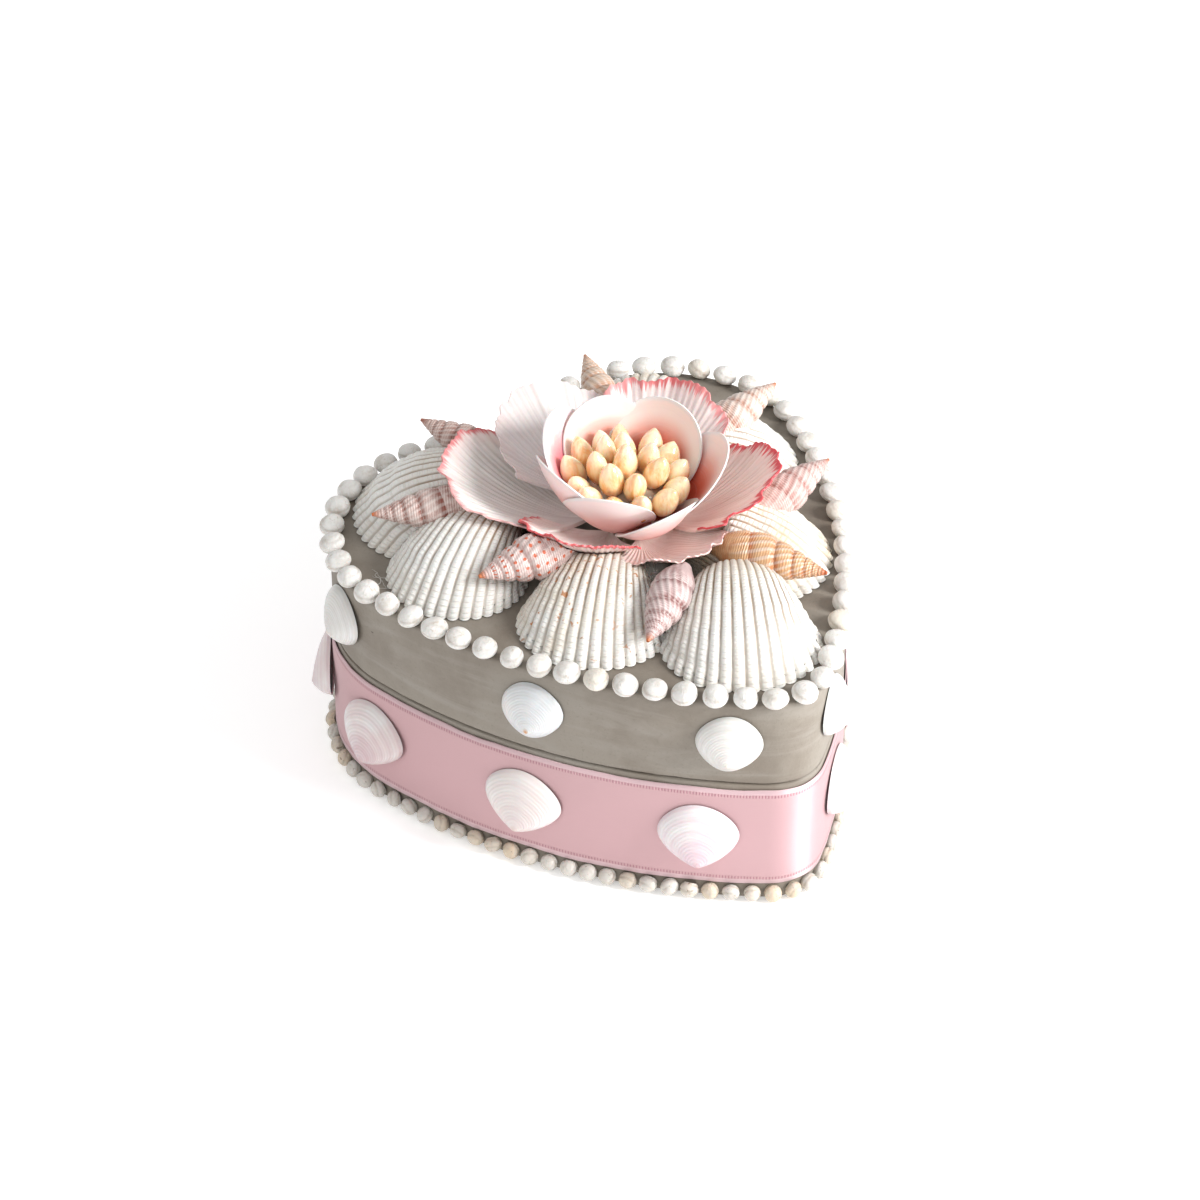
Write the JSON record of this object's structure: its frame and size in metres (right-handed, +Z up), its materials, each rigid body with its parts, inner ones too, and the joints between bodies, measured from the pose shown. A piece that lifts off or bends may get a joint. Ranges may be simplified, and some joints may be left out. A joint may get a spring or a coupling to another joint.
{
  "type": "heart-shaped trinket box with shells",
  "caption": "Heart-shaped lidded trinket box, painted, with a satin ribbon band and dressed with cockles, spindle shells, bead rows and a flower built from thin valves.",
  "frame": {"origin": "on the underside, on the heart's middle line at the level of the lobe centres", "axes": "+Z up through the lid, -Y towards the heart's tip, +Y towards its notch, +X to the right when the tip faces the viewer"},
  "size_m": [0.1755, 0.1806, 0.1194],
  "materials": {
    "taupe_paint": "matte brushed paint over pressed card and thin wood",
    "liner_card": "plain uncoated card",
    "pink_satin": "satin weave with a stitched edge",
    "white_bead_shell": "chalky",
    "grey_bead_shell": "chalky, speckled",
    "cockle_shell": "ribbed, chalky, beige in the grooves",
    "spindle_shell": "banded red-brown on pinkish white",
    "scallop_shell": "fine ribs, pearly, red-pink along the margin",
    "cup_shell": "smooth, white rim running to pink",
    "stamen_shell": "glossy cream-yellow",
    "white_clam_shell": "smooth, bluish white",
    "pink_clam_shell": "smooth, pink with fine growth lines"
  },
  "bodies": {
    "root": {"box_base": "taupe_paint", "inner_collar": "liner_card", "lid": "taupe_paint", "ribbon": "pink_satin", "top_bead_row": "white_bead_shell", "bottom_bead_row": "grey_bead_shell", "cup_petal_1": "cup_shell", "cup_petal_2": "cup_shell", "cup_petal_3": "cup_shell", "cup_petal_4": "cup_shell", "cup_petal_5": "cup_shell", "cup_petal_6": "cup_shell", "cup_petal_7": "cup_shell", "scallop_petal_1": "scallop_shell", "scallop_petal_2": "scallop_shell", "scallop_petal_3": "scallop_shell", "scallop_petal_4": "scallop_shell", "scallop_petal_5": "scallop_shell", "scallop_petal_6": "scallop_shell", "spindle_1": "spindle_shell", "spindle_2": "spindle_shell", "spindle_3": "spindle_shell", "spindle_4": "spindle_shell", "spindle_5": "spindle_shell", "spindle_6": "spindle_shell", "spindle_7": "spindle_shell", "spindle_8": "spindle_shell", "cockle_1": "cockle_shell", "cockle_2": "cockle_shell", "cockle_3": "cockle_shell", "cockle_4": "cockle_shell", "cockle_5": "cockle_shell", "cockle_6": "cockle_shell", "cockle_7": "cockle_shell", "cockle_8": "cockle_shell", "lid_clam_1": "white_clam_shell", "lid_clam_2": "white_clam_shell", "lid_clam_3": "white_clam_shell", "lid_clam_4": "white_clam_shell", "lid_clam_5": "white_clam_shell", "lid_clam_6": "white_clam_shell", "lid_clam_7": "white_clam_shell", "lid_clam_8": "white_clam_shell", "ribbon_clam_1": "pink_clam_shell", "ribbon_clam_2": "pink_clam_shell", "ribbon_clam_3": "pink_clam_shell", "ribbon_clam_4": "pink_clam_shell", "ribbon_clam_5": "pink_clam_shell", "ribbon_clam_6": "pink_clam_shell", "ribbon_clam_7": "pink_clam_shell", "ribbon_clam_8": "pink_clam_shell", "ribbon_clam_9": "pink_clam_shell", "ribbon_clam_10": "pink_clam_shell", "stamen_cluster": "stamen_shell"}
  },
  "joints": []
}
